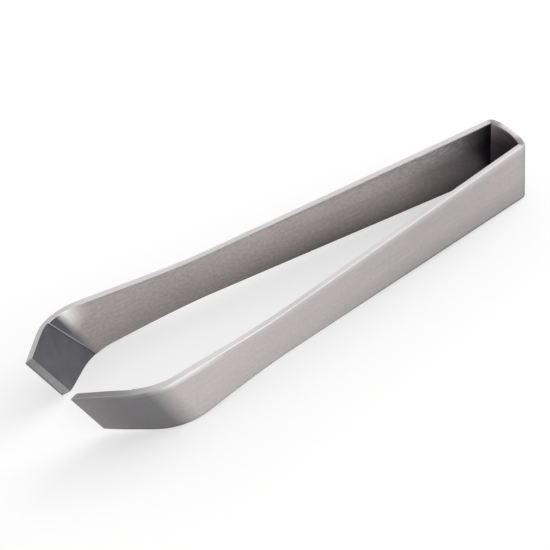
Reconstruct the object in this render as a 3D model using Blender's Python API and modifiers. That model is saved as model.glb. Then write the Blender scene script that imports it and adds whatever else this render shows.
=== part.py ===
"""Fish bone tweezers: a sprung back and two arms, bent from flat steel strip, with jaws folded in.

The tool lies on the lower edges of its strip. +X runs from the back to the tips, +Y is the left arm's side,
and the origin is the middle of the back's lower edge.
"""

from math import asin, atan2, cos, radians, sin, sqrt, tan

import bmesh
import bpy
from mathutils import Matrix, Vector

MM = 0.001

# The strip
STRIP_THICKNESS = 1.4 * MM
BACK_HEIGHT = 13.7 * MM
WAIST_HEIGHT = 10.8 * MM
JAW_HEIGHT = 15.0 * MM
TIP_TAPER = radians(11.2)
RIM_ROUNDING = 0.3 * MM
RIM_ROUNDING_STEPS = 2

# The back, measured over the outer faces
BACK_WIDTH = 11.0 * MM
BACK_BOW = 1.1 * MM
CORNER_INNER_RADIUS = 0.2 * MM
CORNER_STEPS = 6
BOW_STEPS = 6

# The arms, measured along the outer face from the sharp corner of the back
ARM_SPREAD = radians(5.85)
SEAM_FROM_CORNER = 3.0 * MM
SEAM_GAP = 0.3 * MM
WAIST_FROM_CORNER = 70.0 * MM
ELBOW_FROM_CORNER = 95.0 * MM
FLARE_END_FROM_CORNER = 112.0 * MM
FLARE_STEPS = 8

# The fold of each jaw, about a line that leans towards the tip
FOLD_SLANT = radians(32.5)
FOLD_ANGLE = radians(46.5)
FOLD_OUTER_RADIUS = 13.0 * MM
FOLD_STEPS = 12
JAW_STEPS = 8

# The tips, which meet on the middle plane when the arms are squeezed
SQUEEZE_ANGLE = radians(3.45)
CLOSED_TIP_GAP = 0.1 * MM
GROUND_DEPTH = 0.2 * MM
GROUND_BEFORE_JAW = 3.0 * MM

# How far a blank runs past the plane that trims it, and how far a cutter runs past the strip
TRIM_ALLOWANCE = 2.0 * MM
CUTTER_MARGIN = 5.0 * MM

STEEL_COLOUR = (0.60, 0.585, 0.575, 1.0)
STEEL_ROUGHNESS = 0.33

# What follows from the sizes above
MIDDLE_Z = BACK_HEIGHT / 2
CORNER_OUTER_RADIUS = CORNER_INNER_RADIUS + STRIP_THICKNESS
CORNER = Vector((BACK_BOW - STRIP_THICKNESS / 2, BACK_WIDTH / 2, MIDDLE_Z))
ALONG_ARM = Vector((cos(ARM_SPREAD), sin(ARM_SPREAD), 0))
OUT_OF_ARM = Vector((-sin(ARM_SPREAD), cos(ARM_SPREAD), 0))
HINGE = CORNER + SEAM_FROM_CORNER * ALONG_ARM - STRIP_THICKNESS * OUT_OF_ARM
FOLD_ARC = FOLD_OUTER_RADIUS * FOLD_ANGLE

# Directions in an arm's own frame: x along the arm, y out of the grip, z up, from the hinge
OUTWARD = Vector((0, 1, 0))
FOLD_AXIS = Vector((sin(FOLD_SLANT), 0, cos(FOLD_SLANT)))
ACROSS_FOLD = Vector((cos(FOLD_SLANT), 0, -sin(FOLD_SLANT)))
ALONG_JAW = cos(FOLD_ANGLE) * ACROSS_FOLD - sin(FOLD_ANGLE) * OUTWARD
OUT_OF_JAW = sin(FOLD_ANGLE) * ACROSS_FOLD + cos(FOLD_ANGLE) * OUTWARD
FOLD_START = Vector((ELBOW_FROM_CORNER - SEAM_FROM_CORNER, STRIP_THICKNESS, 0))


def clear_scene():
    for obj in list(bpy.data.objects):
        bpy.data.objects.remove(obj, do_unlink=True)


def new_collection(name):
    collection = bpy.data.collections.new(name)
    bpy.context.scene.collection.children.link(collection)
    return collection


def steel():
    """Satin stainless steel."""
    material = bpy.data.materials.new("satin_steel")
    material.use_nodes = True
    shader = material.node_tree.nodes["Principled BSDF"]
    shader.inputs["Base Color"].default_value = STEEL_COLOUR
    shader.inputs["Metallic"].default_value = 1.0
    shader.inputs["Roughness"].default_value = STEEL_ROUGHNESS
    return material


def ease(share):
    """Runs smoothly from 0 to 1 as share does."""
    share = min(max(share, 0.0), 1.0)
    return share * share * (3 - 2 * share)


def folded(across):
    """How far a point across the fold line has come forward and in, on the outer face."""
    angle = min(max(across / FOLD_OUTER_RADIUS, 0.0), FOLD_ANGLE)
    flat = across - FOLD_OUTER_RADIUS * angle
    forward = FOLD_OUTER_RADIUS * sin(angle) + flat * cos(angle)
    inward = FOLD_OUTER_RADIUS * (1 - cos(angle)) + flat * sin(angle)
    return forward, inward


def land_plane():
    """The plane of the tip's flat end in an arm's own frame: the middle plane, seen when squeezed."""
    turned = ARM_SPREAD - SQUEEZE_ANGLE
    normal = Vector((sin(turned), cos(turned), 0))
    return normal * (CLOSED_TIP_GAP / 2 - HINGE.y), normal


def jaw_blank_length():
    """How far the blank runs across the fold, to pass the land plane at its upper corner."""
    point, normal = land_plane()
    bend_end = FOLD_START + ACROSS_FOLD * folded(FOLD_ARC)[0] - OUTWARD * folded(FOLD_ARC)[1]
    upper_corner = bend_end + FOLD_AXIS * (JAW_HEIGHT / cos(FOLD_SLANT))
    to_land = (point - upper_corner).dot(normal) / ALONG_JAW.dot(normal)
    return FOLD_ARC + to_land + TRIM_ALLOWANCE


def half_height(along):
    """Half of the strip's height at a place along the arm: a taper, a flare and a taper to the tip."""
    to_waist = min(max(along / WAIST_FROM_CORNER, 0.0), 1.0)
    height = BACK_HEIGHT + (WAIST_HEIGHT - BACK_HEIGHT) * to_waist
    flare = (along - WAIST_FROM_CORNER) / (FLARE_END_FROM_CORNER - WAIST_FROM_CORNER)
    height += (JAW_HEIGHT - WAIST_HEIGHT) * ease(flare)
    past_flare = max(along - FLARE_END_FROM_CORNER, 0.0)
    return height / 2 - past_flare * tan(TIP_TAPER)


def strip_point(middle, slant, edge):
    """A point on a rim of the arm's outer face, where a line across the strip meets it."""
    height = 0.0
    for _ in range(20):
        height = edge * half_height(middle + height * tan(slant))
    along = middle + height * tan(slant) - ELBOW_FROM_CORNER
    across = along * cos(FOLD_SLANT) - height * sin(FOLD_SLANT)
    beside = along * sin(FOLD_SLANT) + height * cos(FOLD_SLANT)
    forward, inward = folded(across) if across > 0 else (across, 0.0)
    return FOLD_START + FOLD_AXIS * beside + ACROSS_FOLD * forward - OUTWARD * inward


def arm_stations():
    """Lines across the arm, each by its place on the middle line and its lean towards the tip."""
    start = SEAM_FROM_CORNER - TRIM_ALLOWANCE
    straight = [start, WAIST_FROM_CORNER / 2]
    step = (ELBOW_FROM_CORNER - WAIST_FROM_CORNER) / FLARE_STEPS
    straight += [WAIST_FROM_CORNER + step * n for n in range(FLARE_STEPS)]
    stations = [(place, FOLD_SLANT * ease(place / ELBOW_FROM_CORNER)) for place in straight]
    crossings = [FOLD_ARC * n / FOLD_STEPS for n in range(FOLD_STEPS + 1)]
    jaw_length = jaw_blank_length() - FOLD_ARC
    crossings += [FOLD_ARC + jaw_length * n / JAW_STEPS for n in range(1, JAW_STEPS + 1)]
    stations += [(ELBOW_FROM_CORNER + across / cos(FOLD_SLANT), FOLD_SLANT) for across in crossings]
    return stations


def sheet_object(name, rows, outward, collection, material):
    """A sheet through rows of points, made from a grid, with its faces turned outward."""
    mesh = bpy.data.meshes.new(name)
    bm = bmesh.new()
    bmesh.ops.create_grid(bm, x_segments=len(rows) - 1, y_segments=len(rows[0]) - 1, size=1.0)
    columns = sorted(bm.verts, key=lambda vert: (round(vert.co.x, 5), vert.co.y))
    for vert, point in zip(columns, [point for row in rows for point in row]):
        vert.co = point
    bm.normal_update()
    bm.faces.ensure_lookup_table()
    if bm.faces[0].normal.dot(outward) < 0:
        bmesh.ops.reverse_faces(bm, faces=bm.faces)
    bm.to_mesh(mesh)
    bm.free()
    mesh.materials.append(material)
    obj = bpy.data.objects.new(name, mesh)
    collection.objects.link(obj)
    return obj


def give_thickness(obj):
    """Thickens the outer face inwards and rounds the rims."""
    solidify = obj.modifiers.new("strip", "SOLIDIFY")
    solidify.thickness = STRIP_THICKNESS
    solidify.offset = -1
    solidify.use_even_offset = True
    solidify.use_quality_normals = True
    bevel = obj.modifiers.new("rims", "BEVEL")
    bevel.width = min(RIM_ROUNDING, STRIP_THICKNESS / 3)
    bevel.segments = RIM_ROUNDING_STEPS
    bevel.limit_method = "ANGLE"
    bevel.angle_limit = radians(60)


def smooth(obj):
    obj.data.shade_smooth()
    obj.data.set_sharp_from_angle(angle=radians(30))


def add_cutter(name, collection, frame, corner, x_axis, z_axis, size):
    """A box that reaches from corner along x_axis, the axis across and z_axis of an arm's frame."""
    bpy.ops.mesh.primitive_cube_add(size=1)
    cutter = bpy.context.active_object
    cutter.name = name
    for other in list(cutter.users_collection):
        other.objects.unlink(cutter)
    collection.objects.link(cutter)
    cutter.data.transform(Matrix.Diagonal((*size, 1)) @ Matrix.Translation((0.5, 0.5, 0.5)))
    y_axis = z_axis.cross(x_axis)
    turn = Matrix((x_axis, y_axis, z_axis)).transposed().to_4x4()
    cutter.matrix_world = frame @ Matrix.Translation(corner) @ turn
    cutter.hide_render = True
    cutter.display_type = "WIRE"
    return cutter


def cut(obj, cutter):
    boolean = obj.modifiers.new(cutter.name, "BOOLEAN")
    boolean.operation = "DIFFERENCE"
    boolean.solver = "EXACT"
    boolean.object = cutter


def mirrored(vector, side):
    return Vector((vector.x, side * vector.y, vector.z))


def arm_frame(side):
    """Where an arm's own frame lies: on its hinge, turned to its spread. Side 1 is left, -1 is right."""
    return Matrix.Translation(mirrored(HINGE, side)) @ Matrix.Rotation(side * ARM_SPREAD, 4, "Z")


def make_arm(name, side, collection, material):
    rows = []
    for middle, slant in arm_stations():
        rows.append([mirrored(strip_point(middle, slant, edge), side) for edge in (-1, 1)])
    arm = sheet_object(name, rows, mirrored(OUTWARD, side), collection, material)
    arm.matrix_world = arm_frame(side)
    give_thickness(arm)
    return arm


def trim_seam(name, side, keep, cutters):
    """The cutter beside the seam. Keep 1 leaves the arm's side of the seam, -1 the back's."""
    reach = TRIM_ALLOWANCE + CUTTER_MARGIN
    height = BACK_HEIGHT + 2 * CUTTER_MARGIN
    depth = STRIP_THICKNESS + 2 * CUTTER_MARGIN
    start = -SEAM_GAP / 2 if keep < 0 else SEAM_GAP / 2 - reach
    low_y = -CUTTER_MARGIN if side > 0 else -STRIP_THICKNESS - CUTTER_MARGIN
    corner = Vector((start, low_y, -height / 2))
    size = (reach, depth, height)
    return add_cutter(name, cutters, arm_frame(side), corner, Vector((1, 0, 0)), Vector((0, 0, 1)), size)


def trim_tip(name, side, cutters):
    """The cutter that leaves the tip's flat land, which lies on the middle plane when the arm is squeezed."""
    point, normal = land_plane()
    forward = Vector((normal.y, -normal.x, 0))
    length = jaw_blank_length() + 2 * CUTTER_MARGIN
    height = 3 * JAW_HEIGHT
    depth = TRIM_ALLOWANCE + CUTTER_MARGIN
    start = forward.dot(FOLD_START) - CUTTER_MARGIN
    corner = normal * point.dot(normal) + forward * start - Vector((0, 0, height / 2))
    low = mirrored(corner - normal * depth, side) if side > 0 else mirrored(corner, side)
    size = (length + height, depth, height)
    return add_cutter(name, cutters, arm_frame(side), low, mirrored(forward, side), Vector((0, 0, 1)), size)


def grind_jaw(name, side, cutters):
    """The cutter that thins the jaw's inner face, from a step in the bend to the tip."""
    bend_end = FOLD_START + ACROSS_FOLD * folded(FOLD_ARC)[0] - OUTWARD * folded(FOLD_ARC)[1]
    surface = bend_end - OUT_OF_JAW * (STRIP_THICKNESS - GROUND_DEPTH) - ALONG_JAW * GROUND_BEFORE_JAW
    length = GROUND_BEFORE_JAW + jaw_blank_length() + CUTTER_MARGIN
    width = 3 * JAW_HEIGHT
    depth = GROUND_DEPTH + CUTTER_MARGIN
    corner = surface - FOLD_AXIS * (width / 2)
    if side > 0:
        corner -= OUT_OF_JAW * depth
    corner = mirrored(corner, side)
    along = mirrored(ALONG_JAW, side)
    across = mirrored(FOLD_AXIS, side)
    return add_cutter(name, cutters, arm_frame(side), corner, along, across, (length, depth, width))


def back_outline():
    """Points of the back's outer face in plan, from past the left seam round the corner to the middle."""
    half_width = BACK_WIDTH / 2
    bow_radius = (half_width**2 + BACK_BOW**2) / (2 * BACK_BOW)
    bow_centre = Vector((bow_radius - STRIP_THICKNESS / 2, 0, 0))
    corner = Vector((CORNER.x, CORNER.y, 0))
    # The rounding's centre slides along the arm until the rounding touches the bow from inside
    start = corner - CORNER_OUTER_RADIUS * OUT_OF_ARM - bow_centre
    slope = start.dot(ALONG_ARM)
    tangent = -slope - sqrt(slope**2 - start.length_squared + (bow_radius - CORNER_OUTER_RADIUS) ** 2)
    round_centre = bow_centre + start + tangent * ALONG_ARM
    bow_half_angle = asin(round_centre.y / (bow_radius - CORNER_OUTER_RADIUS))
    first = atan2(OUT_OF_ARM.y, OUT_OF_ARM.x)
    last = radians(180) - bow_half_angle
    points = [corner + (SEAM_FROM_CORNER + TRIM_ALLOWANCE) * ALONG_ARM]
    for n in range(CORNER_STEPS + 1):
        angle = first + (last - first) * n / CORNER_STEPS
        points.append(round_centre + CORNER_OUTER_RADIUS * Vector((cos(angle), sin(angle), 0)))
    for n in range(1, BOW_STEPS + 1):
        angle = radians(180) - bow_half_angle * (1 - n / BOW_STEPS)
        points.append(bow_centre + bow_radius * Vector((cos(angle), sin(angle), 0)))
    return points


def make_back(collection, material):
    """The sprung back: half of its outer face, mirrored on the middle plane."""
    rows = [[point, point + Vector((0, 0, BACK_HEIGHT))] for point in back_outline()]
    back = sheet_object("spring_back", rows, OUT_OF_ARM, collection, material)
    mirror = back.modifiers.new("other_half", "MIRROR")
    mirror.use_axis = (False, True, False)
    mirror.use_clip = True
    mirror.merge_threshold = 0.00001
    give_thickness(back)
    return back


def main():
    clear_scene()
    parts = new_collection("fish_bone_tweezers")
    cutters = new_collection("cutters")
    material = steel()
    back = make_back(parts, material)
    for name, side in (("left", 1), ("right", -1)):
        arm = make_arm(f"{name}_arm", side, parts, material)
        cut(back, trim_seam(f"{name}_back_seam_cutter", side, -1, cutters))
        cut(arm, trim_seam(f"{name}_arm_seam_cutter", side, 1, cutters))
        cut(arm, trim_tip(f"{name}_land_cutter", side, cutters))
        cut(arm, grind_jaw(f"{name}_ground_face_cutter", side, cutters))
        smooth(arm)
    smooth(back)


main()
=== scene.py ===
"""Fish bone tweezers: one brushed steel strip, parted where its arms flex, on a pale studio floor."""

from math import asin, atan2, cos, pi, radians, sin, sqrt, tan

import bmesh
import bpy
from mathutils import Matrix, Vector


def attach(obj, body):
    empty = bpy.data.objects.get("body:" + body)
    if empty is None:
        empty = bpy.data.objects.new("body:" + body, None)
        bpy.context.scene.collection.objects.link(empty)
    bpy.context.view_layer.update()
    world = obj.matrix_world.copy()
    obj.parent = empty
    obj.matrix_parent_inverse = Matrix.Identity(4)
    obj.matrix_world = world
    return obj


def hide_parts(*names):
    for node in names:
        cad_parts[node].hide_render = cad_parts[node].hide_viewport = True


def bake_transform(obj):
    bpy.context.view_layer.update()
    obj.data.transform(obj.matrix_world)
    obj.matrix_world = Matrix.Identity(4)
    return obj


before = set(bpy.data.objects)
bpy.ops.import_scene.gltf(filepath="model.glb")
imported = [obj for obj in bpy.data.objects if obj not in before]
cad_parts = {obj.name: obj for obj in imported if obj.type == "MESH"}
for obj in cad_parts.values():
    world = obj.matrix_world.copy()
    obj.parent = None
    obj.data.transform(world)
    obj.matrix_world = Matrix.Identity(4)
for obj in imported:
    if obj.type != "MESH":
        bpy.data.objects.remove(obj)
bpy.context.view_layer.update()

MM = 0.001

# The strip
STRIP_THICKNESS = 1.4 * MM
BACK_HEIGHT = 13.7 * MM
WAIST_HEIGHT = 10.8 * MM
JAW_HEIGHT = 15.0 * MM
TIP_TAPER = radians(11.2)
TAPER_SOFTENING = 3.0 * MM

# The rounding of its rims, the shares of it that each edge has at the back and at the jaw,
# and the places along X between which one share gives way to the other
RIM_ROUNDING = 0.55 * MM
OUTER_ROUNDING_SHARES = (0.8, 0.22)
INNER_ROUNDING_SHARES = (0.6, 0.18)
ROUNDING_FADE = (64.0 * MM, 98.0 * MM)

# The back, over its outer faces
BACK_WIDTH = 11.0 * MM
BACK_BOW = 1.1 * MM
CORNER_OUTER_RADIUS = 1.6 * MM

# The arms, along the outer face from the sharp corner of the back
ARM_SPREAD = radians(5.85)
SEAM_FROM_CORNER = 3.0 * MM
WAIST_FROM_CORNER = 70.0 * MM
ELBOW_FROM_CORNER = 95.0 * MM
FLARE_END_FROM_CORNER = 112.0 * MM
BLANK_END_FROM_CORNER = 127.0 * MM

# The fold of the jaws
FOLD_SLANT = radians(32.5)
FOLD_ANGLE = radians(46.5)
FOLD_OUTER_RADIUS = 13.0 * MM

# The lands, which meet when the arms are squeezed
SQUEEZE_ANGLE = radians(3.45)
CLOSED_TIP_GAP = 0.1 * MM

# The ground inner faces of the jaws, and the shoe that grinds them
GROUND_DEPTH = 0.2 * MM
GROUND_BEFORE_JAW = 4.35 * MM
GROUND_TURN = radians(7.5)
SHOE_THICKNESS = 0.8 * MM
SHOE_CHAMFER = 0.3 * MM
SHOE_HEIGHT_RATIO = 1.4

# How finely the strip is divided
BACK_STUB = 1.0 * MM
BOW_ROW = 0.35 * MM
CORNER_ROW = 0.15 * MM
ARM_ROW = 2.5 * MM
FLARE_ROW = 1.0 * MM
FOLD_ROW = 0.4 * MM
FOLD_REACH_FROM_CORNER = 90.0 * MM
SOFTENING_STRETCHES = 3
ROWS_UP = 12
RIM_ROUNDING_STEPS = 4
ROUNDING_FADE_STEPS = 16

# How exactly points and faces are found, cut and shaded
TINY = 0.005 * MM
CUT_TOLERANCE = 0.0002 * MM
PARALLEL = 0.9999
RIM_NORMAL_Z = 0.75
SHARP_SHOE_EDGE = radians(60)
SMOOTH_EDGE = radians(25)

# The strip's material slots, in their order, and the UV map that its brushing follows
OUTER, INNER, RIM, GROUND, LAND = range(5)
GRAIN = "grain"

# Colours of the outer side, and the shades that its colour is multiplied by; after the mottling, these
# are painted shade and a painted highlight under the upper rim
OUTER_DARK = (0.54, 0.505, 0.515, 1)
OUTER_LIGHT = (0.63, 0.587, 0.598, 1)
OUTER_MOTTLING = 0.12
PAINTED_SHADE_TOWARDS_BACK = (0.83, 0.83, 0.83, 1)
PAINTED_LOW_FACE_SHADE = (0.82, 0.83, 0.84, 1)
PAINTED_LOWER_EDGE_SHADE = (0.36, 0.36, 0.37, 1)
PAINTED_BAND_UNDER_RIM = (0.57, 0.546, 0.559, 1)
PAINTED_HIGHLIGHT_UNDER_RIM_AT_ELBOW = (0.88, 0.85, 0.86, 1)
PAINTED_CORNER_SHADE = (0.6, 0.6, 0.61, 1)
PAINTED_JAW_SHADE_AT_FOLD = (0.34, 0.36, 0.37, 1)
PAINTED_JAW_SHADE_AT_TIP = (0.46, 0.47, 0.48, 1)
PAINTED_JAW_EDGE_SHADE = (0.85, 0.85, 0.86, 1)

# Colours and shades of the inner side; after the mottling, these are painted shade, scuffs with painted
# light, and a painted highlight
INNER_DARK = (0.52, 0.485, 0.487, 1)
INNER_LIGHT = (0.64, 0.597, 0.6, 1)
INNER_MOTTLING = 0.25
PAINTED_LOW_SHADE_AT_BACK = (0.22, 0.205, 0.203, 1)
PAINTED_LOW_SHADE_AT_ELBOW = (0.64, 0.63, 0.63, 1)
PAINTED_HIGH_LIGHT_AT_BACK = (1.05, 1.02, 1.03, 1)
PAINTED_HIGH_SHADE_AT_ELBOW = (0.89, 0.88, 0.88, 1)
PAINTED_BACK_BELOW_RIM_SHADE = (0.36, 0.35, 0.38, 1)
PAINTED_INNER_BACK_SHADE = (0.75, 0.74, 0.77, 1)
PAINTED_INNER_CORNER_SHADE = (0.42, 0.41, 0.43, 1)
SCUFFS_AND_PAINTED_LIGHT = (0.85, 0.815, 0.83, 1)
PAINTED_HIGHLIGHT_ON_FOLD = (0.98, 0.96, 0.97, 1)
PAINTED_SHADE_IN_FOLD = (0.11, 0.108, 0.12, 1)
PAINTED_SHADE_AT_STEP = (0.5, 0.49, 0.5, 1)

# Shades of the faint patches of warmer and cooler steel on both sides
WARM_SHADE = (1.0, 0.965, 0.965, 1)
COOL_SHADE = (0.965, 0.97, 0.95, 1)

# Colours and shades of the rims, where the shades are painted shade
RIM_DARK = (0.74, 0.71, 0.725, 1)
RIM_LIGHT = (0.8, 0.77, 0.78, 1)
PAINTED_RIM_ELBOW_SHADE = (0.94, 0.94, 0.95, 1)
PAINTED_RIM_JAW_SHADE = (0.7, 0.71, 0.7, 1)
PAINTED_RIM_CORNER_SHADE = (0.58, 0.58, 0.59, 1)
PAINTED_LOWER_RIM_SHADE = (0.4, 0.4, 0.41, 1)

# Colours of the ground jaw faces and of the lands
GROUND_DARK = (0.09, 0.089, 0.106, 1)
GROUND_LIGHT = (0.148, 0.146, 0.166, 1)
LAND_DARK = (0.28, 0.276, 0.282, 1)
LAND_LIGHT = (0.39, 0.384, 0.39, 1)
LAND_EDGE_SHADE = (0.6, 0.6, 0.61, 1)

# The roughness of each finish where it is smoothest, and of the rims near the back and at the jaws
SATIN_ROUGHNESS = 0.25
GROUND_ROUGHNESS = 0.34
LAND_ROUGHNESS = 0.36
RIM_ROUGHNESS = (0.6, 0.38)

# The floor
FLOOR_SIDE = 12.0
FLOOR_BELOW = 0.01 * MM
FLOOR_DARK = (0.55, 0.55, 0.55, 1)
FLOOR_LIGHT = (0.57, 0.57, 0.57, 1)
FLOOR_GLOW_COLOUR = (1.0, 1.0, 1.0, 1)
FLOOR_GLOW = 0.5
FLOOR_ROUGHNESS = 0.9

# The studio's light: even walls, which dim towards the ceiling between two heights, and a soft lamp.
# The heights are on a sphere of radius 1 round the tool.
STUDIO_COLOUR = (1.0, 0.99, 0.985, 1)
WALL_LIGHT = 1.0
CEILING_LIGHT = 0.38
CEILING_FADE = (0.55, 0.9)
SOFTBOX_AIM = Vector((60.0 * MM, 0, 0))
SOFTBOX_AZIMUTH = radians(182)
SOFTBOX_ELEVATION = radians(27)
SOFTBOX_DISTANCE = 1.6
SOFTBOX_SIDE = 1.1
SOFTBOX_WATTS = 13.0

# The camera of the photograph, and the tool's place in its frame
IMAGE_SIDE = 550
SENSOR_WIDTH = 36.0
FOCAL_PIXELS = 12305.9
CAMERA_DISTANCE = 2443.19 * MM
CAMERA_YAW = radians(50.439)
CAMERA_PITCH = radians(40.548)
CAMERA_ROLL = radians(-0.636)
CAMERA_REACH = 30.0
FRAME_CENTRE = Vector((50.0 * MM, 0, BACK_HEIGHT / 2))
FRAME_SHIFT = (8.773 * MM, 2.657 * MM)

# What follows from the sizes above
UP = Vector((0, 0, 1))
OUTWARD = Vector((0, 1, 0))
MIDDLE_Z = BACK_HEIGHT / 2
CORNER = Vector((BACK_BOW - STRIP_THICKNESS / 2, BACK_WIDTH / 2, MIDDLE_Z))
ALONG_ARM = Vector((cos(ARM_SPREAD), sin(ARM_SPREAD), 0))
OUT_OF_ARM = Vector((-sin(ARM_SPREAD), cos(ARM_SPREAD), 0))
ARM_PLACE = Matrix.Translation(CORNER) @ Matrix.Rotation(ARM_SPREAD, 4, "Z")
SEAM = CORNER + SEAM_FROM_CORNER * ALONG_ARM
HINGE = SEAM - STRIP_THICKNESS * OUT_OF_ARM
PAST_THE_STRIP = 2 * BLANK_END_FROM_CORNER

# The fold, on the flat blank before the arm is put in its place
ELBOW = Vector((ELBOW_FROM_CORNER, 0, 0))
ACROSS_FOLD = Vector((cos(FOLD_SLANT), 0, -sin(FOLD_SLANT)))
FOLD_AXIS = Vector((sin(FOLD_SLANT), 0, cos(FOLD_SLANT)))
FOLD_CENTRE = ELBOW - OUTWARD * FOLD_OUTER_RADIUS
OUT_OF_JAW = sin(FOLD_ANGLE) * ACROSS_FOLD + cos(FOLD_ANGLE) * OUTWARD
GROUND_STEP_RISE = tan(GROUND_TURN) * FOLD_OUTER_RADIUS / (FOLD_OUTER_RADIUS - STRIP_THICKNESS)

# The left land: it lies in the middle plane when the arm is squeezed
OUT_OF_LAND = Vector((-sin(SQUEEZE_ANGLE), cos(SQUEEZE_ANGLE), 0))
LAND_PLACE = HINGE + OUT_OF_LAND * (CLOSED_TIP_GAP / 2 - HINGE.y)


def select_only(obj):
    bpy.ops.object.select_all(action="DESELECT")
    obj.select_set(True)
    bpy.context.view_layer.objects.active = obj


def select_where(test, mode="VERT"):
    """In edit mode, selects the vertices, edges or faces that pass the test, and nothing else."""
    bpy.ops.mesh.select_mode(type=mode)
    bpy.ops.mesh.select_all(action="DESELECT")
    mesh = bmesh.from_edit_mesh(bpy.context.active_object.data)
    chosen = 0
    for element in {"VERT": mesh.verts, "EDGE": mesh.edges, "FACE": mesh.faces}[mode]:
        if test(element):
            element.select_set(True)
            chosen += 1
    mesh.select_flush_mode()
    bmesh.update_edit_mesh(bpy.context.active_object.data)
    return chosen


def middle_of(edge):
    return (edge.verts[0].co + edge.verts[1].co) / 2


def apply_modifiers(obj):
    select_only(obj)
    for modifier in list(obj.modifiers):
        bpy.ops.object.modifier_apply(modifier=modifier.name)


def ease(share):
    share = min(max(share, 0.0), 1.0)
    return share * share * (3 - 2 * share)


def strip_height(along):
    """The flat strip's height at a place along the arm: a taper, a flare and a taper to the tip."""
    height = BACK_HEIGHT + (WAIST_HEIGHT - BACK_HEIGHT) * min(max(along / WAIST_FROM_CORNER, 0.0), 1.0)
    flare = (along - WAIST_FROM_CORNER) / (FLARE_END_FROM_CORNER - WAIST_FROM_CORNER)
    height += (JAW_HEIGHT - WAIST_HEIGHT) * ease(flare)
    past = along - FLARE_END_FROM_CORNER
    turning = min(max(past + TAPER_SOFTENING, 0.0), 2 * TAPER_SOFTENING)
    tapered = turning**2 / (4 * TAPER_SOFTENING) + max(past - TAPER_SOFTENING, 0.0)
    return height - 2 * tapered * tan(TIP_TAPER)


def back_bends():
    """Where the corner's bend meets the arm, the angles of corner and bow, and the bow's radius."""
    bow_radius = ((BACK_WIDTH / 2) ** 2 + BACK_BOW**2) / (2 * BACK_BOW)
    bow_centre = Vector((bow_radius - STRIP_THICKNESS / 2, 0, MIDDLE_Z))
    inner_reach = bow_radius - CORNER_OUTER_RADIUS
    start = CORNER - CORNER_OUTER_RADIUS * OUT_OF_ARM - bow_centre
    slope = start.dot(ALONG_ARM)
    arm_start = -slope - sqrt(slope**2 - start.length_squared + inner_reach**2)
    round_centre = start + arm_start * ALONG_ARM
    bow_angle = asin(round_centre.y / inner_reach)
    corner_angle = pi - bow_angle - atan2(OUT_OF_ARM.y, OUT_OF_ARM.x)
    return arm_start, corner_angle, bow_angle, bow_radius


def rows_for(length, row):
    return max(1, round(length / row))


def draw_out_blank(at, stretches):
    """Draws the flat blank out of its end edge, stretch by stretch. A stretch is its end and its rows."""
    for place, rows in stretches:
        select_where(lambda vert: vert.co.x > at - TINY)
        bpy.ops.mesh.extrude_region_move(TRANSFORM_OT_translate={"value": (place - at, 0, 0)})
        scale = strip_height(place) / strip_height(at)
        bpy.ops.transform.resize(value=(1, 1, scale), center_override=(place, 0, 0))
        if rows > 1:
            middle = (place + at) / 2
            select_where(lambda edge: abs(middle_of(edge).x - middle) < TINY, "EDGE")
            bpy.ops.mesh.subdivide(number_cuts=rows - 1)
        at = place


def arm_stretches():
    """The stretches from the waist to the blank's end: the flare, the softened corner and the tip."""
    stretches = []
    flare_length = FLARE_END_FROM_CORNER - WAIST_FROM_CORNER
    flare_steps = rows_for(flare_length, FLARE_ROW)
    for step in range(1, flare_steps + 1):
        place = WAIST_FROM_CORNER + flare_length * step / flare_steps
        in_fold = place > FOLD_REACH_FROM_CORNER
        stretches.append((place, rows_for(FLARE_ROW, FOLD_ROW) if in_fold else 1))
    for step in range(1, SOFTENING_STRETCHES + 1):
        place = FLARE_END_FROM_CORNER + TAPER_SOFTENING * step / SOFTENING_STRETCHES
        stretches.append((place, rows_for(TAPER_SOFTENING / SOFTENING_STRETCHES, FOLD_ROW)))
    straight = BLANK_END_FROM_CORNER - FLARE_END_FROM_CORNER - TAPER_SOFTENING
    stretches.append((BLANK_END_FROM_CORNER, rows_for(straight, FOLD_ROW)))
    return stretches


def flat_blank(finishes):
    """Half of the strip as it is stamped: flat, from just past the back's middle to past the tip."""
    arm_start, corner_angle, bow_angle, bow_radius = back_bends()
    corner_length = CORNER_OUTER_RADIUS * corner_angle
    bow_length = bow_radius * bow_angle
    corner_end = arm_start - corner_length
    back_middle = corner_end - bow_length
    bpy.ops.object.select_all(action="DESELECT")
    stub_middle = (back_middle - BACK_STUB / 2, 0, 0)
    bpy.ops.mesh.primitive_plane_add(size=BACK_STUB, location=stub_middle, rotation=(radians(90), 0, 0))
    blank = bpy.context.active_object
    blank.name = "left_strip"
    bpy.ops.object.transform_apply(location=True, rotation=True, scale=True)
    bpy.ops.object.mode_set(mode="EDIT")
    bpy.ops.transform.resize(value=(1, 1, BACK_HEIGHT / BACK_STUB), center_override=(0, 0, 0))
    back_stretches = [
        (corner_end, rows_for(bow_length, BOW_ROW)),
        (arm_start, rows_for(corner_length, CORNER_ROW)),
        (WAIST_FROM_CORNER, rows_for(WAIST_FROM_CORNER - arm_start, ARM_ROW)),
    ]
    draw_out_blank(back_middle, back_stretches + arm_stretches())
    select_where(lambda edge: abs(edge.verts[0].co.x - edge.verts[1].co.x) < TINY, "EDGE")
    bpy.ops.mesh.subdivide(number_cuts=ROWS_UP - 1)
    bpy.ops.object.mode_set(mode="OBJECT")
    if blank.data.polygons[0].normal.y < 0:
        blank.data.flip_normals()
    for finish in finishes:
        blank.data.materials.append(finish)
    return blank


def lay_out_grain(blank):
    """Keeps each point's place on the flat blank, in metres, so that the brushing follows the bends."""
    for layer in list(blank.data.uv_layers):
        blank.data.uv_layers.remove(layer)
    grain = blank.data.uv_layers.new(name=GRAIN)
    for loop in blank.data.loops:
        place = blank.data.vertices[loop.vertex_index].co
        grain.data[loop.index].uv = (place.x, place.z)


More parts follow.
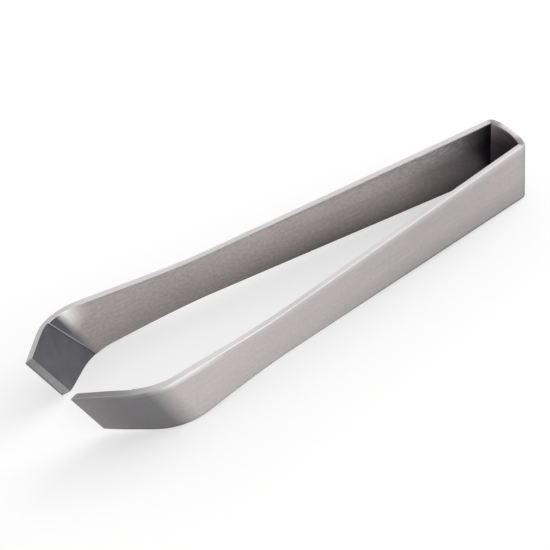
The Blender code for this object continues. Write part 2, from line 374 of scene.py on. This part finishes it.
def bend(sheet, start, direction, axis, radius, angle):
    """Bends the sheet inwards about the axis, round that radius, from start on in that direction."""
    turn = Matrix((direction, axis.cross(direction), axis)).transposed().to_4x4()
    bend_line = bpy.data.objects.new("bend_line", None)
    bpy.context.scene.collection.objects.link(bend_line)
    bend_line.matrix_world = Matrix.Translation(start) @ turn
    bpy.context.view_layer.update()
    reaches = [(vert.co - start).dot(direction) for vert in sheet.data.vertices]
    low = min(reaches)
    span = max(reaches) - low
    press = sheet.modifiers.new("press", "SIMPLE_DEFORM")
    press.deform_method = "BEND"
    press.deform_axis = "Z"
    press.origin = bend_line
    press.limits = (-low / span, (radius * angle - low) / span)
    press.angle = -angle
    apply_modifiers(sheet)
    bpy.data.objects.remove(bend_line)


def fold_jaw(sheet):
    bend(sheet, ELBOW, ACROSS_FOLD, FOLD_AXIS, FOLD_OUTER_RADIUS, FOLD_ANGLE)


def bend_back(sheet):
    """Bends the bow of the back first and then its corner, both from the arm's side."""
    arm_start, corner_angle, bow_angle, bow_radius = back_bends()
    corner_end = arm_start - CORNER_OUTER_RADIUS * corner_angle
    to_back = Vector((-1, 0, 0))
    bend(sheet, Vector((corner_end, 0, 0)), to_back, -UP, bow_radius, bow_angle)
    bend(sheet, Vector((arm_start, 0, 0)), to_back, -UP, CORNER_OUTER_RADIUS, corner_angle)


def put_in_place(sheet):
    sheet.matrix_world = ARM_PLACE
    select_only(sheet)
    bpy.ops.object.transform_apply(location=True, rotation=True, scale=True)


def thicken(sheet, thickness):
    """Thickens the sheet inwards. Its inner face and its rims get their own material slots."""
    solidify = sheet.modifiers.new("thickness", "SOLIDIFY")
    solidify.thickness = thickness
    solidify.offset = -1
    solidify.use_even_offset = True
    solidify.use_quality_normals = True
    solidify.material_offset = INNER
    solidify.material_offset_rim = RIM
    apply_modifiers(sheet)


def share_rounding(start, end, on_outer, outer_count, share):
    """Gives the outer or inner edges of the rims their share of the rounding, from start to end."""

    def in_stretch(edge):
        on_side = (max(vert.index for vert in edge.verts) < outer_count) == on_outer
        rims = [face for face in edge.link_faces if face.material_index == RIM]
        return on_side and len(rims) == 1 and start <= middle_of(edge).x < end

    if select_where(in_stretch, "EDGE"):
        bpy.ops.transform.edge_bevelweight(value=share)


def round_rims(half, outer_count):
    """Rounds the rims, the outer edges more than the inner ones, and both less towards the jaws."""
    select_only(half)
    bpy.ops.object.mode_set(mode="EDIT")
    fade_start, fade_end = ROUNDING_FADE
    start = -PAST_THE_STRIP
    for step in range(ROUNDING_FADE_STEPS + 1):
        faded = step / ROUNDING_FADE_STEPS
        end = fade_start + (fade_end - fade_start) * faded if faded < 1 else PAST_THE_STRIP
        for on_outer, shares in ((True, OUTER_ROUNDING_SHARES), (False, INNER_ROUNDING_SHARES)):
            share = shares[0] + (shares[1] - shares[0]) * ease(faded)
            share_rounding(start, end, on_outer, outer_count, share)
        start = end
    bpy.ops.object.mode_set(mode="OBJECT")
    rounding = half.modifiers.new("rims", "BEVEL")
    rounding.width = RIM_ROUNDING
    rounding.segments = RIM_ROUNDING_STEPS
    rounding.limit_method = "WEIGHT"
    apply_modifiers(half)


def cut_at(obj, point, normal, keep_ahead, fill=True):
    """Cuts the piece at a plane and keeps what lies ahead of it, along the normal, or behind it."""
    select_only(obj)
    bpy.ops.object.mode_set(mode="EDIT")
    bpy.ops.mesh.select_all(action="SELECT")
    bpy.ops.mesh.bisect(
        plane_co=point,
        plane_no=normal,
        use_fill=fill,
        clear_inner=keep_ahead,
        clear_outer=not keep_ahead,
        threshold=CUT_TOLERANCE,
    )
    bpy.ops.object.mode_set(mode="OBJECT")


def assign_slot(obj, index, test):
    """Gives the material slot of that index to the faces that pass the test."""
    select_only(obj)
    bpy.ops.object.mode_set(mode="EDIT")
    if select_where(test, "FACE"):
        obj.active_material_index = index
        bpy.ops.object.material_slot_assign()
    bpy.ops.object.mode_set(mode="OBJECT")


def lies_on_rim(face):
    return abs(face.normal.z) > RIM_NORMAL_Z


def lies_on_land(face):
    distance = (face.calc_center_median() - LAND_PLACE).dot(OUT_OF_LAND)
    return face.normal.dot(OUT_OF_LAND) < -PARALLEL and abs(distance) < TINY


def grinding_shoe(finishes):
    """A thick sheet that lies sunk into the jaw's inner face, with a chamfered end at the step."""
    shoe = flat_blank(finishes)
    select_only(shoe)
    bpy.ops.object.mode_set(mode="EDIT")
    bpy.ops.mesh.select_all(action="SELECT")
    bpy.ops.transform.resize(value=(1, 1, SHOE_HEIGHT_RATIO), center_override=(0, 0, 0))
    bpy.ops.object.mode_set(mode="OBJECT")
    lay_out_grain(shoe)
    depth = STRIP_THICKNESS - GROUND_DEPTH
    bpy.ops.object.mode_set(mode="EDIT")
    bpy.ops.transform.translate(value=(0, -depth, 0))
    bpy.ops.object.mode_set(mode="OBJECT")
    fold_jaw(shoe)
    turned = FOLD_ANGLE - GROUND_BEFORE_JAW / FOLD_OUTER_RADIUS
    outward = sin(turned) * ACROSS_FOLD + cos(turned) * OUTWARD
    ahead = cos(turned) * ACROSS_FOLD - sin(turned) * OUTWARD
    step = FOLD_CENTRE + outward * (FOLD_OUTER_RADIUS - depth)
    cut_at(shoe, step, Matrix.Rotation(GROUND_TURN, 3, outward) @ ahead, keep_ahead=True, fill=False)
    put_in_place(shoe)
    thicken(shoe, SHOE_THICKNESS)
    chamfer = shoe.modifiers.new("chamfer", "BEVEL")
    chamfer.width = SHOE_CHAMFER
    chamfer.segments = 1
    chamfer.limit_method = "ANGLE"
    chamfer.angle_limit = SHARP_SHOE_EDGE
    chamfer.material = RIM
    apply_modifiers(shoe)
    for face in shoe.data.polygons:
        if face.material_index == OUTER:
            face.material_index = GROUND
    return shoe


def grind_jaw(half, finishes):
    """Thins the jaw's inner face from a step in the bend to the tip."""
    shoe = grinding_shoe(finishes)
    grinding = half.modifiers.new("grinding", "BOOLEAN")
    grinding.operation = "DIFFERENCE"
    grinding.solver = "EXACT"
    grinding.material_mode = "INDEX"
    grinding.object = shoe
    apply_modifiers(half)
    bpy.data.objects.remove(shoe)


def copy_of(obj, name):
    copy = obj.copy()
    copy.data = obj.data.copy()
    copy.name = name
    bpy.context.scene.collection.objects.link(copy)
    return copy


def turned_over(obj, name):
    """A copy of the piece for the other side of the middle plane."""
    copy = copy_of(obj, name)
    select_only(copy)
    bpy.ops.object.mode_set(mode="EDIT")
    bpy.ops.mesh.select_all(action="SELECT")
    bpy.ops.transform.resize(value=(1, -1, 1), center_override=(0, 0, 0))
    bpy.ops.mesh.flip_normals()
    bpy.ops.object.mode_set(mode="OBJECT")
    return copy


def half_strip(finishes):
    """The left half of the whole strip: stamped, bent, thickened, rounded and ground."""
    half = flat_blank(finishes)
    lay_out_grain(half)
    fold_jaw(half)
    bend_back(half)
    put_in_place(half)
    outer_count = len(half.data.vertices)
    thicken(half, STRIP_THICKNESS)
    round_rims(half, outer_count)
    assign_slot(half, RIM, lies_on_rim)
    cut_at(half, LAND_PLACE, OUT_OF_LAND, keep_ahead=True)
    grind_jaw(half, finishes)
    assign_slot(half, LAND, lies_on_land)
    return half


def make_strip(finishes):
    """The strip's back and its left and right arms, from one half that is parted at the seam."""
    half = half_strip(finishes)
    back = copy_of(half, "bent_back")
    cut_at(back, SEAM, ALONG_ARM, keep_ahead=False)
    cut_at(back, (0, 0, 0), OUTWARD, keep_ahead=True, fill=False)
    mirror = back.modifiers.new("other_half", "MIRROR")
    mirror.use_axis = (False, True, False)
    mirror.use_clip = True
    mirror.merge_threshold = TINY
    apply_modifiers(back)
    left = copy_of(half, "left_arm_strip")
    cut_at(left, SEAM, ALONG_ARM, keep_ahead=True)
    bpy.data.objects.remove(half)
    right = turned_over(left, "right_arm_strip")
    return back, left, right


def even_out_light(obj):
    """Smooths the bends and keeps the flat faces flat in the light."""
    select_only(obj)
    bpy.ops.object.shade_smooth_by_angle(angle=SMOOTH_EDGE)
    weighted = obj.modifiers.new("even_light", "WEIGHTED_NORMAL")
    weighted.keep_sharp = True
    weighted.thresh = 0
    apply_modifiers(obj)


class Socket:
    """A shader socket that can be used in sums. Each sum adds its Math node."""

    def __init__(self, owner, socket):
        self.owner = owner
        self.socket = socket

    def math(self, operation, *values):
        return self.owner.node("ShaderNodeMath", dict(enumerate(values)), operation=operation)

    def __add__(self, other):
        return self.math("ADD", self, other)

    __radd__ = __add__

    def __sub__(self, other):
        return self.math("SUBTRACT", self, other)

    def __rsub__(self, other):
        return self.math("SUBTRACT", other, self)

    def __mul__(self, other):
        return self.math("MULTIPLY", self, other)

    __rmul__ = __mul__


class Shading:
    """A shader and the nodes that feed it."""

    def __init__(self, tree, shader):
        self.tree = tree
        self.shader = tree.nodes[shader]

    def node(self, kind, inputs, output=0, **settings):
        """Adds a node: its settings first, then the values or links of its sockets."""
        node = self.tree.nodes.new(kind)
        for name, value in settings.items():
            setattr(node, name, value)
        for name, value in inputs.items():
            self.feed(node.inputs[name], value)
        return Socket(self, node.outputs[output])

    def feed(self, socket, value):
        if isinstance(value, Socket):
            self.tree.links.new(value.socket, socket)
        else:
            socket.default_value = value

    def set_shader(self, **inputs):
        """Gives the shader's own sockets their values or links. A name has _ for a space."""
        for name, value in inputs.items():
            self.feed(self.shader.inputs[name.replace("_", " ")], value)

    def spread(self, value, low, high, to_low=0.0, to_high=1.0, curve="LINEAR"):
        """Maps the value's range from low to high onto another, held at its ends."""
        ends = {"Value": value, "From Min": low, "From Max": high, "To Min": to_low, "To Max": to_high}
        return self.node("ShaderNodeMapRange", ends, clamp=True, interpolation_type=curve)


class Finish(Shading):
    """A surface finish: a Principled material and the nodes that feed it."""

    def __init__(self, name):
        self.material = bpy.data.materials.new(name)
        self.material.use_nodes = True
        super().__init__(self.material.node_tree, "Principled BSDF")

    def place(self, cells, cells_up=None):
        """The place on the object, scaled to cells per metre, with their own number upwards if given."""
        place = self.node("ShaderNodeTexCoord", {}, output="Object")
        scale = (cells, cells, cells if cells_up is None else cells_up)
        return self.node("ShaderNodeMapping", {"Vector": place, "Scale": scale})

    def grain(self, along, across, start=0.0):
        """The place on the flat strip, scaled to cells per metre along and across the brushing."""
        place = self.node("ShaderNodeUVMap", {}, uv_map=GRAIN)
        shift = (start, start, 0)
        scale = (along, across, 1)
        return self.node("ShaderNodeMapping", {"Vector": place, "Location": shift, "Scale": scale})

    def along(self):
        """The length along the flat strip from the back's corner, in metres."""
        return self.part_of_grain("X")

    def across(self):
        """The height on the flat strip from its middle line, in metres."""
        return self.part_of_grain("Y")

    def part_of_grain(self, axis):
        place = self.node("ShaderNodeUVMap", {}, uv_map=GRAIN)
        return self.node("ShaderNodeSeparateXYZ", {"Vector": place}, output=axis)

    def past_fold(self):
        """The distance past the start of the fold, square to the fold line."""
        return (self.along() - ELBOW_FROM_CORNER) * cos(FOLD_SLANT) - self.across() * sin(FOLD_SLANT)

    def up_fold(self):
        """The distance up along the fold line, from the strip's middle line."""
        return (self.along() - ELBOW_FROM_CORNER) * sin(FOLD_SLANT) + self.across() * cos(FOLD_SLANT)

    def on_corner(self):
        """Where the strip turns from the arm into the back."""
        along = self.along()
        return self.spread(along, 1.2 * MM, 0.2 * MM) * self.spread(along, -3.5 * MM, -2.0 * MM)

    def half_height(self):
        """Half of the strip's height, which tapers to the waist and flares to the jaw."""
        along = self.along()
        taper = self.spread(along, 0.0, WAIST_FROM_CORNER, BACK_HEIGHT / 2, WAIST_HEIGHT / 2)
        flared = (JAW_HEIGHT - WAIST_HEIGHT) / 2
        flare = self.spread(along, WAIST_FROM_CORNER, FLARE_END_FROM_CORNER, 0.0, flared, "SMOOTHSTEP")
        return taper + flare

    def depth_in_jaw(self):
        """The depth below the jaw's outer face, in metres, on either arm."""
        normal = ARM_PLACE.to_3x3() @ OUT_OF_JAW
        on_face = ARM_PLACE @ (FOLD_CENTRE + OUT_OF_JAW * FOLD_OUTER_RADIUS)
        place = self.node("ShaderNodeTexCoord", {}, output="Object")
        on_left = self.node("ShaderNodeVectorMath", {0: place}, operation="ABSOLUTE")
        outward = self.node(
            "ShaderNodeVectorMath", {0: on_left, 1: normal}, output="Value", operation="DOT_PRODUCT"
        )
        return normal.dot(on_face) - outward

    def noise(self, vector, detail=2.0, roughness=0.5):
        shape = {"Vector": vector, "Scale": 1.0, "Detail": detail, "Roughness": roughness}
        return self.node("ShaderNodeTexNoise", shape)

    def mix(self, share, first, second, blend_type):
        """Mixes two colours. The sockets go by number, because some of a Mix node's share a name."""
        inputs = {0: share, 6: first, 7: second}
        return self.node("ShaderNodeMix", inputs, output=2, data_type="RGBA", blend_type=blend_type)

    def blend(self, share, first, second):
        """The first colour, which gives way to the second by that share."""
        return self.mix(share, first, second, "MIX")

    def shade(self, colour, shade, share=1.0):
        """The colour, multiplied by the shade by that share."""
        return self.mix(share, colour, shade, "MULTIPLY")

    def bump(self, height, strength, depth):
        return self.node("ShaderNodeBump", {"Height": height, "Strength": strength, "Distance": depth})


def brush_marks(finish):
    """Long marks along the strip, coarse ones with finer ones among them."""
    coarse = finish.noise(finish.grain(along=60, across=2500), detail=3.0, roughness=0.6)
    fine = finish.noise(finish.grain(along=250, across=12000, start=3.0), detail=2.0, roughness=0.6)
    coarse_share = 0.6
    return coarse * coarse_share + fine * (1 - coarse_share)


def satin(finish, dark, light, mottling):
    """Brushes the steel, and gives its streaked and faintly patchy colour and its roughness."""
    brushing = brush_marks(finish)
    finish.set_shader(Metallic=1.0, Normal=finish.bump(brushing, strength=0.3, depth=0.02 * MM))
    streak = finish.spread(brushing, 0.3, 0.7)
    colour = finish.blend(streak, dark, light)
    grit = finish.noise(finish.grain(along=1100, across=1500, start=11.0), detail=3.0, roughness=0.7)
    faint = 1 - mottling
    colour = finish.shade(colour, (faint, faint, faint, 1), 1 - finish.spread(grit, 0.3, 0.7))
    patch = finish.spread(finish.noise(finish.place(260), detail=1.0), 0.35, 0.65)
    colour = finish.shade(colour, finish.blend(patch, WARM_SHADE, COOL_SHADE))
    cloud = finish.noise(finish.place(120), detail=4.0, roughness=0.55)
    roughness = SATIN_ROUGHNESS + 0.1 * streak + 0.1 * finish.spread(cloud, 0.35, 0.7)
    return colour, roughness


def brushed_steel():
    """The outer side: satin stainless steel brushed along the strip, with painted shade and a painted
    highlight.
    """
    finish = Finish("brushed_steel")
    colour, roughness = satin(finish, OUTER_DARK, OUTER_LIGHT, OUTER_MOTTLING)
    along = finish.along()
    across = finish.across()
    half_height = finish.half_height()
    past_fold = finish.past_fold()
    # Painted shade: the outer face darker from the elbow towards the back.
    shaded_towards_back = finish.spread(along, 85 * MM, 30 * MM)
    colour = finish.shade(colour, PAINTED_SHADE_TOWARDS_BACK, shaded_towards_back)
    # Painted shade: the lower part of the outer face darker, where it mirrors the shadowed floor.
    shaded_low_on_face = finish.spread(across, -1 * MM, -5.5 * MM) * finish.spread(along, 85 * MM, 35 * MM)
    colour = finish.shade(colour, PAINTED_LOW_FACE_SHADE, shaded_low_on_face)
    # Painted shade along the lower edge, which faces the floor; strongest towards the back.
    at_lower_edge = finish.spread(half_height + across, 0.9 * MM, 0.2 * MM)
    more_at_back = finish.spread(along, 60 * MM, 30 * MM, 0.35, 1.0)
    colour = finish.shade(colour, PAINTED_LOWER_EDGE_SHADE, at_lower_edge * more_at_back)
    # Painted highlight: a light band just under the upper rim, brightest at the elbow.
    at_upper_edge = finish.spread(half_height - across, 1.6 * MM, 0.2 * MM)
    at_elbow = finish.spread(along, 85 * MM, 94 * MM)
    colour = finish.blend(at_upper_edge, colour, finish.blend(at_elbow, PAINTED_BAND_UNDER_RIM, PAINTED_HIGHLIGHT_UNDER_RIM_AT_ELBOW))
    # Painted shade on the corner bend, which turns away from the light.
    colour = finish.shade(colour, PAINTED_CORNER_SHADE, finish.on_corner())
    # Painted shade: the jaw's outer face darker, where it mirrors the shadowed floor beneath it, less so
    # at the tip.
    on_jaw = finish.spread(past_fold, 1.5 * MM, 6.5 * MM)
    at_tip = finish.spread(past_fold, 12 * MM, 20 * MM)
    colour = finish.shade(colour, finish.blend(at_tip, PAINTED_JAW_SHADE_AT_FOLD, PAINTED_JAW_SHADE_AT_TIP), on_jaw)
    # Painted shade just under the upper rim on the jaw.
    colour = finish.shade(colour, PAINTED_JAW_EDGE_SHADE, at_upper_edge * on_jaw)
    finish.set_shader(Base_Color=colour, Roughness=roughness)
    return finish.material


def inner_steel():
    """The inner side: painted shade low down, in the back and in the fold, scuffs with painted light, a
    painted highlight.
    """
    finish = Finish("inner_steel")
    colour, roughness = satin(finish, INNER_DARK, INNER_LIGHT, INNER_MOTTLING)
    along = finish.along()
    across = finish.across()
    past_fold = finish.past_fold()
    up_fold = finish.up_fold()
    # Painted shade: the inner face darker towards its bottom, most near the back, and lighter near its
    # top.
    low_at_elbow = finish.spread(along, 45 * MM, 95 * MM)
    low_shade = finish.blend(low_at_elbow, PAINTED_LOW_SHADE_AT_BACK, PAINTED_LOW_SHADE_AT_ELBOW)
    high_at_elbow = finish.spread(along, 55 * MM, 75 * MM)
    high_shade = finish.blend(high_at_elbow, PAINTED_HIGH_LIGHT_AT_BACK, PAINTED_HIGH_SHADE_AT_ELBOW)
    high_up = finish.spread(across, -6 * MM, 5 * MM)
    colour = finish.shade(colour, finish.blend(high_up, low_shade, high_shade))
    # Painted shade in the back of the inner face, below its top.
    shaded_back_below_rim = finish.spread(along, 22 * MM, 4 * MM) * finish.spread(across, 6 * MM, 2 * MM)
    colour = finish.shade(colour, PAINTED_BACK_BELOW_RIM_SHADE, shaded_back_below_rim)
    # Painted shade on the inner side of the back.
    in_back = finish.spread(along, 4 * MM, 1 * MM)
    colour = finish.shade(colour, PAINTED_INNER_BACK_SHADE, in_back)
    # Painted shade in the inner corner.
    in_corner = finish.spread(along, 4.5 * MM, 1.8 * MM) * finish.spread(along, -1.2 * MM, 0.2 * MM)
    colour = finish.shade(colour, PAINTED_INNER_CORNER_SHADE, in_corner)
    # Scuffs near the top rim towards the back, whose light colour is also painted light that brightens
    # that part of the face.
    scratches = finish.noise(finish.grain(along=900, across=2200, start=7.0), detail=4.0, roughness=0.7)
    near_rim = finish.spread(across, 1 * MM, 4.5 * MM) * finish.spread(along, 50 * MM, 20 * MM)
    out_of_corner = finish.spread(along, 1 * MM, 12 * MM)
    scuffs_and_painted_light = (0.3 + 0.6 * finish.spread(scratches, 0.42, 0.6)) * near_rim * out_of_corner
    colour = finish.blend(scuffs_and_painted_light, colour, SCUFFS_AND_PAINTED_LIGHT)
    # Painted highlight high on the fold, which is also made smoother there.
    highlight_on_fold = finish.spread(past_fold, -1 * MM, 3 * MM) * finish.spread(up_fold, 3.5 * MM, 11 * MM)
    colour = finish.blend(highlight_on_fold, colour, PAINTED_HIGHLIGHT_ON_FOLD)
    # Painted shade in the fold, between its painted highlight and the ground step.
    in_fold = finish.spread(past_fold, 4 * MM, 6 * MM) * finish.spread(up_fold, -3 * MM, 7 * MM, 0.5, 1.0)
    colour = finish.blend(in_fold, colour, PAINTED_SHADE_IN_FOLD)
    # Painted shade in a narrow band along the ground step, strongest near the top.
    step_past_fold = FOLD_OUTER_RADIUS * FOLD_ANGLE - GROUND_BEFORE_JAW + GROUND_STEP_RISE * up_fold
    at_step = finish.spread(step_past_fold - past_fold, 0.35 * MM, 0.15 * MM)
    shaded_at_step = at_step * finish.spread(up_fold, -2 * MM, 4 * MM)
    colour = finish.blend(shaded_at_step * 0.75, colour, PAINTED_SHADE_AT_STEP)
    finish.set_shader(Base_Color=colour, Roughness=roughness + 0.3 * scuffs_and_painted_light - 0.14 * highlight_on_fold)
    return finish.material


def rim_steel():
    """The rims: rougher near the back than at the jaws, with painted shade at the elbow, jaws, corner and
    lower rims.
    """
    finish = Finish("rim_steel")
    along = finish.along()
    cloud = finish.spread(finish.noise(finish.place(90), detail=2.0), 0.3, 0.7)
    colour = finish.blend(cloud, RIM_DARK, RIM_LIGHT)
    # Painted shade on the rims at the elbow.
    at_elbow = finish.spread(along, 55 * MM, 80 * MM)
    colour = finish.shade(colour, PAINTED_RIM_ELBOW_SHADE, at_elbow)
    # Painted shade on the rims of the jaws.
    on_jaw = finish.spread(finish.past_fold(), -2 * MM, 6 * MM)
    colour = finish.shade(colour, PAINTED_RIM_JAW_SHADE, on_jaw)
    # Painted shade on the corner, which dims the rim's highlight there; it is also rougher.
    on_corner = finish.on_corner()
    colour = finish.shade(colour, PAINTED_RIM_CORNER_SHADE, on_corner)
    # Painted shade on the lower rims, which face the floor.
    shaded_lower_rim = finish.spread(finish.across(), 1 * MM, -3 * MM)
    colour = finish.shade(colour, PAINTED_LOWER_RIM_SHADE, shaded_lower_rim)
    roughness = finish.spread(along, 45 * MM, 75 * MM, *RIM_ROUGHNESS) + 0.06 * cloud + 0.1 * on_corner
    grain = finish.noise(finish.place(500), detail=1.0)
    bump = finish.bump(grain, strength=0.03, depth=0.004 * MM)
    finish.set_shader(Base_Color=colour, Metallic=1.0, Roughness=roughness, Normal=bump)
    return finish.material


def ground_steel():
    """The ground inner faces of the jaws, with fine wheel marks."""
    finish = Finish("ground_steel")
    marks = finish.noise(finish.grain(along=5000, across=150), detail=3.0, roughness=0.6)
    cloud = finish.noise(finish.place(250), detail=3.0)
    colour = finish.blend(finish.spread(marks + cloud, 0.7, 1.3), GROUND_DARK, GROUND_LIGHT)
    roughness = GROUND_ROUGHNESS + 0.1 * finish.spread(marks, 0.3, 0.7)
    bump = finish.bump(marks, strength=0.2, depth=0.02 * MM)
    finish.set_shader(Base_Color=colour, Metallic=1.0, Roughness=roughness, Normal=bump)
    return finish.material


def land_steel():
    """The flat lands where the tips meet: short wheel marks, and an outer edge that is darker."""
    finish = Finish("land_steel")
    marks = finish.noise(finish.place(3000, cells_up=500), detail=3.0, roughness=0.6)
    colour = finish.blend(finish.spread(marks, 0.35, 0.65), LAND_DARK, LAND_LIGHT)
    at_outer_edge = finish.spread(finish.depth_in_jaw(), 0.3 * MM, 0.1 * MM)
    colour = finish.shade(colour, LAND_EDGE_SHADE, at_outer_edge)
    roughness = LAND_ROUGHNESS + 0.1 * marks
    bump = finish.bump(marks, strength=0.2, depth=0.02 * MM)
    finish.set_shader(Base_Color=colour, Metallic=1.0, Roughness=roughness, Normal=bump)
    return finish.material


def pale_floor_finish():
    """A plain white sheet over a light table, which keeps the shadows faint."""
    finish = Finish("pale_floor")
    cloud = finish.noise(finish.place(8), detail=4.0)
    colour = finish.blend(cloud, FLOOR_DARK, FLOOR_LIGHT)
    finish.set_shader(
        Base_Color=colour,
        Roughness=FLOOR_ROUGHNESS,
        Emission_Color=FLOOR_GLOW_COLOUR,
        Emission_Strength=FLOOR_GLOW,
    )
    return finish.material


def dress():
    """Makes the strip's three pieces, attaches the back to its body in the moving model, and hides the
    model's parts.
    """
    finishes = [brushed_steel(), inner_steel(), rim_steel(), ground_steel(), land_steel()]
    back, left, right = make_strip(finishes)
    for piece in (back, left, right):
        even_out_light(piece)
    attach(back, "spring_back")
    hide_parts("spring_back")
    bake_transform(left)
    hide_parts("left_arm")
    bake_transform(right)
    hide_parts("right_arm")


def make_floor():
    bpy.ops.object.select_all(action="DESELECT")
    bpy.ops.mesh.primitive_plane_add(size=FLOOR_SIDE, location=(0, 0, -FLOOR_BELOW))
    floor = bpy.context.active_object
    floor.name = "pale_floor"
    floor.data.materials.append(pale_floor_finish())


def make_world():
    """Light from all round, which is weaker from high above."""
    world = bpy.data.worlds.new("studio")
    bpy.context.scene.world = world
    world.use_nodes = True
    studio = Shading(world.node_tree, "Background")
    direction = studio.node("ShaderNodeTexCoord", {}, output="Generated")
    height = studio.node("ShaderNodeSeparateXYZ", {"Vector": direction}, output="Z")
    strength = studio.spread(height, *CEILING_FADE, WALL_LIGHT, CEILING_LIGHT)
    studio.set_shader(Color=STUDIO_COLOUR, Strength=strength)


def direction_to(azimuth, elevation):
    return Vector((cos(azimuth) * cos(elevation), sin(azimuth) * cos(elevation), sin(elevation)))


def make_softbox():
    """A large, soft, square lamp behind the tool's back, which looks at its middle."""
    back = direction_to(SOFTBOX_AZIMUTH, SOFTBOX_ELEVATION)
    place = SOFTBOX_AIM + back * SOFTBOX_DISTANCE
    turn = back.to_track_quat("Z", "Y").to_euler()
    bpy.ops.object.light_add(type="AREA", location=place, rotation=turn)
    lamp = bpy.context.active_object
    lamp.name = "back_softbox"
    lamp.data.size = SOFTBOX_SIDE
    lamp.data.energy = SOFTBOX_WATTS


def make_camera():
    """The camera at the photograph's place and angle."""
    back = direction_to(CAMERA_YAW, CAMERA_PITCH)
    level = Vector((-sin(CAMERA_YAW), cos(CAMERA_YAW), 0))
    upright = back.cross(level)
    right = cos(CAMERA_ROLL) * level + sin(CAMERA_ROLL) * upright
    up = cos(CAMERA_ROLL) * upright - sin(CAMERA_ROLL) * level
    bpy.ops.object.camera_add()
    camera = bpy.context.active_object
    place = FRAME_CENTRE + CAMERA_DISTANCE * back - FRAME_SHIFT[0] * right - FRAME_SHIFT[1] * up
    camera.matrix_world = Matrix.Translation(place) @ Matrix((right, up, back)).transposed().to_4x4()
    camera.data.sensor_width = SENSOR_WIDTH
    camera.data.lens = FOCAL_PIXELS / IMAGE_SIDE * SENSOR_WIDTH
    camera.data.clip_end = CAMERA_REACH
    bpy.context.scene.camera = camera


dress()
make_floor()
make_world()
make_softbox()
make_camera()
bpy.context.scene.view_settings.view_transform = "Standard"
